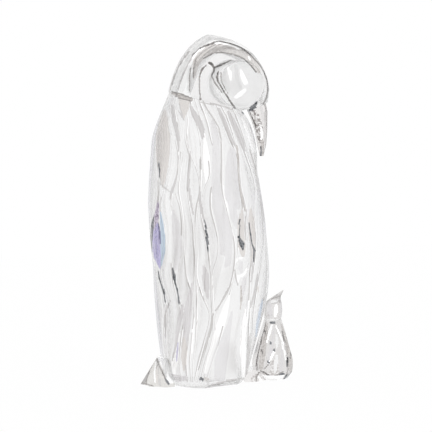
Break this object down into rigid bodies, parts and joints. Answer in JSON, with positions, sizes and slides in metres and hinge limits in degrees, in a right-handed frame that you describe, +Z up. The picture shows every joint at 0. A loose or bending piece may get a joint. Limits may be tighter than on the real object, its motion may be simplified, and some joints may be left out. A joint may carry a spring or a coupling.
{
  "type": "penguin figurine",
  "caption": "Clear cut crystal ornament: a standing adult penguin with bowed head, wavy feather facets and fluted tail, and a small faceted chick at its feet, on a flat base.",
  "frame": {"origin": "middle of the adult's flat base, on the surface that it stands on", "axes": "+Z up, +X the way the penguin faces, +Y to its left"},
  "size_m": [0.0724, 0.048, 0.1602],
  "materials": {
    "cut_crystal": "clear lead crystal, wheel cut and polished",
    "polished_crystal": "clear lead crystal, rounded and flame bright"
  },
  "bodies": {
    "root": {"adult_body": "cut_crystal", "adult_head": "cut_crystal", "right_cheek_dome": "polished_crystal", "left_cheek_dome": "polished_crystal", "adult_beak": "cut_crystal", "adult_tail": "cut_crystal", "right_foot": "cut_crystal", "left_foot": "cut_crystal", "chick_body": "cut_crystal", "chick_head": "polished_crystal"}
  },
  "joints": []
}
